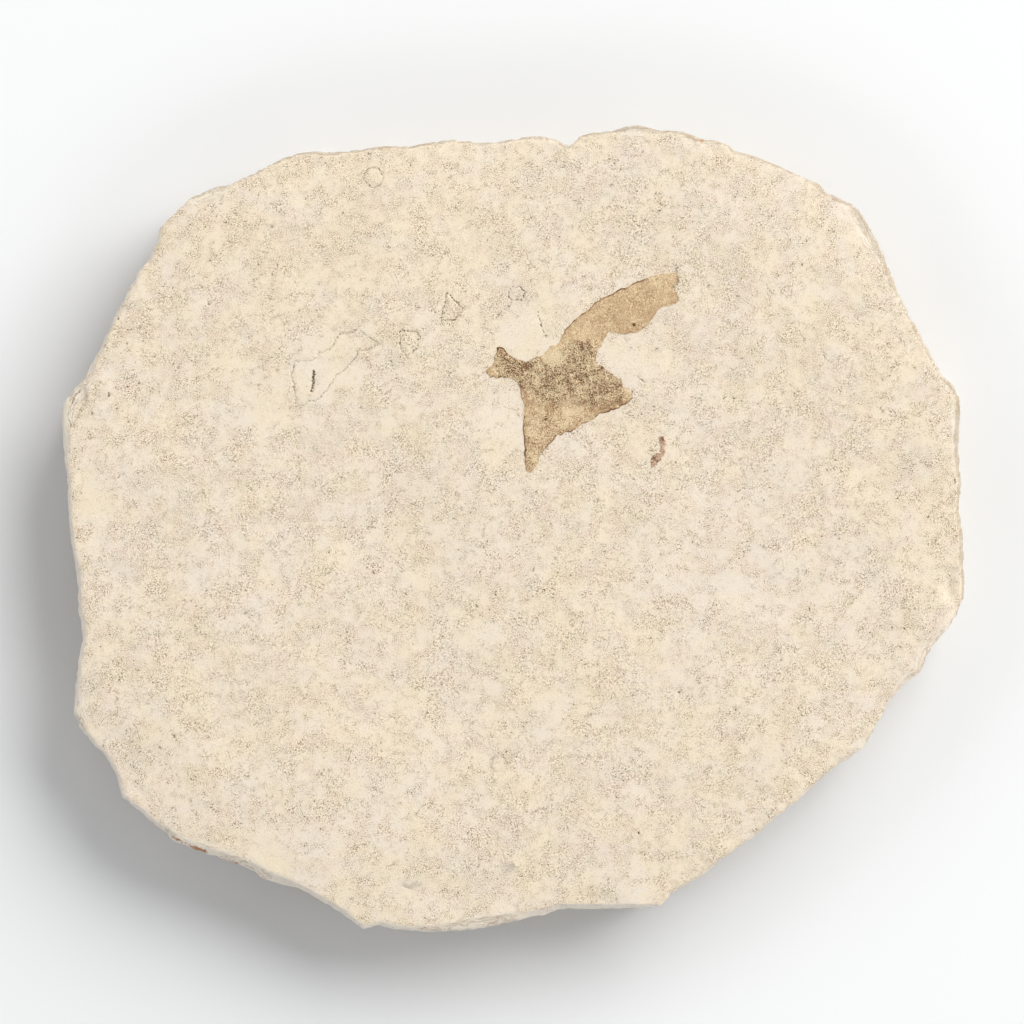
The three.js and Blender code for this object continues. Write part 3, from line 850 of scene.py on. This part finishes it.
class FOSSIL_OT_stone(bpy.types.Operator):
    """Model the slab of limestone with its split face and broken, bedded edge"""

    bl_idname = "fossil_slab.stone"
    bl_label = "Limestone slab"

    def execute(self, context):
        look = context.scene.fossil_stone
        piece = copied("slab", "limestone_slab")
        fill_recesses(piece)
        points = places(piece)
        lift = np.interp(points[:, 2], BED_HEIGHTS, STEP_HEIGHTS) - points[:, 2]
        lift *= (points[:, 2] > BED_HEIGHTS[0]) & (points[:, 2] < BED_HEIGHTS[-1])
        most = 3
        pressed(piece, lift / most, -most, "Z")
        modified(piece, "REMESH", mode="VOXEL", voxel_size=look.spacing, adaptivity=0)
        level_underside(piece)

        points, normals = places(piece), slopes(piece)
        inset = face_inset(points, normals)
        group = weighted(piece, stepped(inset, 1, 4))
        modified(piece, "SMOOTH", vertex_group=group.name, factor=0.5, iterations=120)
        piece.vertex_groups.remove(piece.vertex_groups["weights"])

        wall = (1 - stepped(normals[:, 2], 0.3, 0.7)) * stepped(points[:, 2], 0.05, 0.5)
        wall *= 1 - stepped(points[:, 2], 7.2, 7.8)
        broken = stepped(clouds(points, 2.4, 4, 5, 0.6), -0.5, 0.6)
        laminae = stepped(clouds(points, 7, 4, 6, 0.07), -0.15, 0.25)
        pressed(piece, wall * broken, look.break_depth / MM)
        pressed(piece, wall * laminae, look.lamina_depth / MM)
        rim = (inset < 0.1) * (points[:, 2] > 1) * stepped(clouds(points, 0.8, 3, 12), -0.3, 0.5)
        notched(piece, rim, look.rim_depth / MM, normals)

        refine_marks(piece)
        points, normals = places(piece), slopes(piece)
        skin = clouds(points, 4.2, 3, 1) + 0.05
        upper = stepped(points[:, 2], 7.8, 8.5)
        hollows = stepped(clouds(points, 9, 4, 7), -0.7, 0.7)
        pressed(piece, hollows * upper, look.relief / MM, "Z")
        pressed(piece, (1 - stepped(skin, -0.06, 0.1)) * upper, look.skin_step / MM, "Z")
        mark = marks(points) * (points[:, 2] > 7.5)
        pressed(piece, mark, MARK_DEPTH, "Z")

        near_mark = stepped(mark, 0.01, 0.03)
        inset = face_inset(points, normals)
        free = (1 - near_mark) * stepped(inset, 1.0, 2.5)
        free[points[:, 2] < 0.1] = 1
        group = weighted(piece, free)
        share = look.triangles / sum(len(p.vertices) - 2 for p in piece.data.polygons)
        modified(piece, "DECIMATE", ratio=min(1, share), vertex_group=group.name)
        piece.vertex_groups.clear()
        settled(piece)

        points, normals = places(piece), slopes(piece)
        inset = face_inset(points, normals)
        upper = points[:, 2] > RIM_LEVEL
        chips = spots(points, CHIPS) * upper
        edge = 1 - stepped(inset, 0.02, 0.15)
        ledge = ledge_reach(points, normals)
        band = stepped(spots(points, BEDDED), 0.2, 0.6) * (1 - stepped(ledge, 0.8, 1.1)) * upper
        painted(piece, "ledge", ledge)
        lower = edge * (1 - stepped(points[:, 2], 7.6, 8.2))
        # Painted shade: the broken edge is darkened where it faces the key light. It is darker low
        # down on the edge too. In the chip scars near the lit side, the darkening is partly their
        # own olive-brown and partly painted shade.
        facing = edge * stepped(normals @ TOWARDS_KEY_LIGHT, 0.03, 0.38)
        deep = 0.7 * edge * (1 - stepped(points[:, 2], 5.0, 7.5))
        painted_shade_and_darker_stone = np.max([facing, deep, chips], axis=0)
        side = np.max([lower, 0.75 * band, 0.75 * facing, chips], axis=0)
        painted(piece, "side", side)
        painted(piece, "painted_shade_and_darker_stone", painted_shade_and_darker_stone)
        painted(piece, "grime", spots(points, GRIME) * upper)
        painted(piece, "cool", spots(points, COOL) * upper)
        # Painted highlight: the crest of the rim is paled where it faces away from the key light.
        crest = edge * upper * stepped(-normals @ TOWARDS_KEY_LIGHT, 0.05, 0.4)
        painted(piece, "pale", 0.45 * spots(points, PALE) * upper + crest)
        painted(piece, "mark", marks(points) * upper)
        stained = stepped(points[:, 2], 6.0, 7.8) * (1 - stepped(inset, 0.2, 0.6))
        painted(piece, "rust", spots(points, RUST) * stained)

        alone(piece)
        bpy.ops.object.shade_smooth_by_angle(angle=SMOOTH_ANGLE)
        modified(piece, "WEIGHTED_NORMAL", mode="FACE_AREA", keep_sharp=True)
        piece.data.materials.append(stone_material(look))
        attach(piece, "root")
        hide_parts("slab")
        return {"FINISHED"}


def film_shell(node, name, look):
    """A thin closed shell of a specimen's outline, which lies on the stone."""
    piece = copied(node, name)
    opened(piece, "FACE")
    pick(piece, lambda centre, normal: normal.z > -0.9)
    bpy.ops.mesh.delete(type="FACE")
    bpy.ops.mesh.select_all(action="SELECT")
    bpy.ops.mesh.flip_normals()
    bpy.ops.mesh.dissolve_limited(angle_limit=math.radians(1))
    bpy.ops.mesh.subdivide(number_cuts=1)
    bpy.ops.mesh.vertices_smooth(factor=0.5, repeat=1)
    for share in (1, 0.7, 0.5):
        bpy.ops.transform.vertex_random(offset=share * look.ragged, uniform=0.5, normal=0, seed=3)
        bpy.ops.mesh.subdivide(number_cuts=1)
    thickness = 2 * look.depth
    flatten(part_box("slab")[1].z - thickness)
    bpy.ops.mesh.extrude_region_move(TRANSFORM_OT_translate={"value": (0, 0, thickness)})
    bpy.ops.mesh.select_all(action="SELECT")
    bpy.ops.mesh.normals_make_consistent(inside=False)
    bpy.ops.object.mode_set(mode="OBJECT")
    modified(piece, "REMESH", mode="VOXEL", voxel_size=look.spacing, adaptivity=0)
    return piece


def lay_on(piece, look):
    """Lays a shell on the stone, half sunk in. Gives its upper points and how far in from
    the shell's wall they lie."""
    points, normals = places(piece), slopes(piece)
    upper = points[:, 2] > (points[:, 2].max() + points[:, 2].min()) / 2
    wall = points[np.abs(normals[:, 2]) < 0.5]
    inset = np.zeros(len(points))
    inset[upper] = inset_from(points[upper] * IN_PLAN, wall * IN_PLAN)
    modified(piece, "SHRINKWRAP", target=bpy.data.objects["limestone_slab"],
             wrap_method="PROJECT", use_project_z=True, use_positive_direction=True,
             use_negative_direction=True)
    pressed(piece, upper.astype(float), -look.proud / MM, "Z")
    pressed(piece, 1.0 - upper, look.depth / MM, "Z")
    return upper, inset


class FOSSIL_OT_insect(bpy.types.Operator):
    """Model the insect's thin brown film on the stone"""

    bl_idname = "fossil_slab.insect"
    bl_label = "Insect film"

    def execute(self, context):
        look = context.scene.fossil_film
        piece = film_shell("insect", "insect_film", look)
        upper, inset = lay_on(piece, look)
        points = places(piece)
        body = stepped(spots(points, BODY), 0.15, 0.7)
        rumple = stepped(clouds(points, 1.1, 3, 8), -0.5, 0.5) * body * upper
        pressed(piece, rumple * stepped(inset, 0.05, 0.4), -look.crumple / MM, "Z")

        rim = np.exp(-(inset / 0.12) ** 2) * stepped(clouds(points, 1.4, 3, 9), -0.5, 0.6)
        rim *= stepped(spots(points, DARK_RIM), 0.1, 0.6) * 0.8 + 0.2
        painted(piece, "thick", 0.33 - 0.03 * body + spots(points, BLOTCHES) + rim)
        painted(piece, "rough", np.maximum(body, 0.4 * stepped(-points[:, 1], -14, -12)))
        painted(piece, "warm", spots(points, PINKISH))
        alone(piece)
        bpy.ops.object.shade_smooth_by_angle(angle=SMOOTH_ANGLE)
        piece.data.materials.append(film_material("insect_film", look))
        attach(piece, "root")
        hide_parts("insect")
        return {"FINISHED"}


class FOSSIL_OT_small_fossil(bpy.types.Operator):
    """Model the small second fossil's film on the stone"""

    bl_idname = "fossil_slab.small_fossil"
    bl_label = "Small fossil film"

    def execute(self, context):
        look = context.scene.fossil_small_film
        piece = film_shell("small_fossil", "small_fossil_film", look)
        upper, inset = lay_on(piece, look)
        points = places(piece)
        rumple = stepped(clouds(points, 0.6, 3, 10), -0.5, 0.5) * upper
        pressed(piece, rumple, -look.crumple / MM, "Z")
        thick = 0.4 + spots(points, SMALL_BLOTCHES) + 0.1 * np.exp(-(inset / 0.1) ** 2)
        painted(piece, "thick", thick)
        painted(piece, "rough", np.full(len(points), 0.8))
        painted(piece, "warm", np.full(len(points), 0.5))
        alone(piece)
        bpy.ops.object.shade_smooth_by_angle(angle=SMOOTH_ANGLE)
        piece.data.materials.append(film_material("small_fossil_film", look))
        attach(piece, "root")
        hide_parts("small_fossil")
        return {"FINISHED"}


def ring_of_light(look):
    """Surroundings that are brightest in a ring some way above the floor."""
    world = bpy.data.worlds.new("surroundings")
    world.use_nodes = True
    tree = world.node_tree
    direction = tree.nodes.new("ShaderNodeTexCoord")
    parts = tree.nodes.new("ShaderNodeSeparateXYZ")
    tree.links.new(direction.outputs["Generated"], parts.inputs[0])
    rest = look.fill_rest / look.fill
    edge = math.radians(5)
    bright, dim = ([share * part for part in look.fill_colour] for share in (1, rest))
    stops = ((math.sin(look.fill_low - edge), dim), (math.sin(look.fill_low + edge), bright),
             (math.sin(look.fill_high - edge), bright), (math.sin(look.fill_high + edge), dim))
    background = tree.nodes["Background"]
    sky = colour_ramp(tree, parts.outputs["Z"], stops)
    tree.links.new(sky, background.inputs["Color"])
    background.inputs["Strength"].default_value = look.fill
    return world


class FOSSIL_OT_stage(bpy.types.Operator):
    """Set up the pale floor, the soft light and the camera"""

    bl_idname = "fossil_slab.stage"
    bl_label = "Stage"

    def execute(self, context):
        look = context.scene.fossil_stage
        bpy.ops.object.select_all(action="DESELECT")
        bpy.ops.mesh.primitive_plane_add(size=look.floor_size)
        floor = context.object
        floor.name = "floor"
        w = Wiring("floor")
        w.shader.inputs["Base Color"].default_value = (*look.floor, 1)
        w.shader.inputs["Roughness"].default_value = 0.9
        w.shader.inputs["Specular IOR Level"].default_value = 0
        floor.data.materials.append(w.material)

        towards = Vector((
            math.cos(look.key_height) * math.cos(look.key_bearing),
            math.cos(look.key_height) * math.sin(look.key_bearing),
            math.sin(look.key_height),
        ))
        bpy.ops.object.light_add(
            type="AREA", location=towards * look.key_distance,
            rotation=towards.to_track_quat("Z", "Y").to_euler())
        key = context.object
        key.name = key.data.name = "key_light"
        key.data.shape = "DISK"
        key.data.size = 2 * look.key_distance * math.tan(look.key_spread / 2)
        key.data.energy = look.key_power
        key.data.color = look.key_colour
        key.visible_camera = False

        context.scene.world = ring_of_light(look)
        height = look.view_level + look.view_width * look.lens / SENSOR_WIDTH
        bpy.ops.object.camera_add(location=(look.aim_x, look.aim_y, height), rotation=(0, 0, 0))
        camera = context.object
        camera.name = camera.data.name = "camera"
        camera.data.lens = look.lens
        camera.data.sensor_width = SENSOR_WIDTH
        camera.data.clip_start, camera.data.clip_end = 0.01, 10
        context.scene.camera = camera
        context.scene.view_settings.view_transform = "Standard"
        return {"FINISHED"}


class FOSSIL_PT_panel(bpy.types.Panel):
    """Lists the pieces of the fossil slab"""

    bl_label = "Fossil slab"
    bl_idname = "FOSSIL_PT_panel"
    bl_space_type = "VIEW_3D"
    bl_region_type = "UI"
    bl_category = "Fossil slab"

    def draw(self, context):
        for operator in OPERATORS:
            self.layout.operator(operator.bl_idname)


SETTINGS = {
    "fossil_stone": StoneSettings,
    "fossil_film": FilmSettings,
    "fossil_small_film": SmallFilmSettings,
    "fossil_stage": StageSettings,
}
OPERATORS = (FOSSIL_OT_stone, FOSSIL_OT_insect, FOSSIL_OT_small_fossil, FOSSIL_OT_stage)
CLASSES = (*SETTINGS.values(), *OPERATORS, FOSSIL_PT_panel)


def register():
    for cls in CLASSES:
        bpy.utils.register_class(cls)
    for name, settings in SETTINGS.items():
        setattr(bpy.types.Scene, name, PointerProperty(type=settings))


def unregister():
    for name in SETTINGS:
        delattr(bpy.types.Scene, name)
    for cls in reversed(CLASSES):
        bpy.utils.unregister_class(cls)


def main():
    """Builds everything in order."""
    register()
    bpy.ops.fossil_slab.stone()
    bpy.ops.fossil_slab.insect()
    bpy.ops.fossil_slab.small_fossil()
    bpy.ops.fossil_slab.stage()


if __name__ == "__main__":
    main()
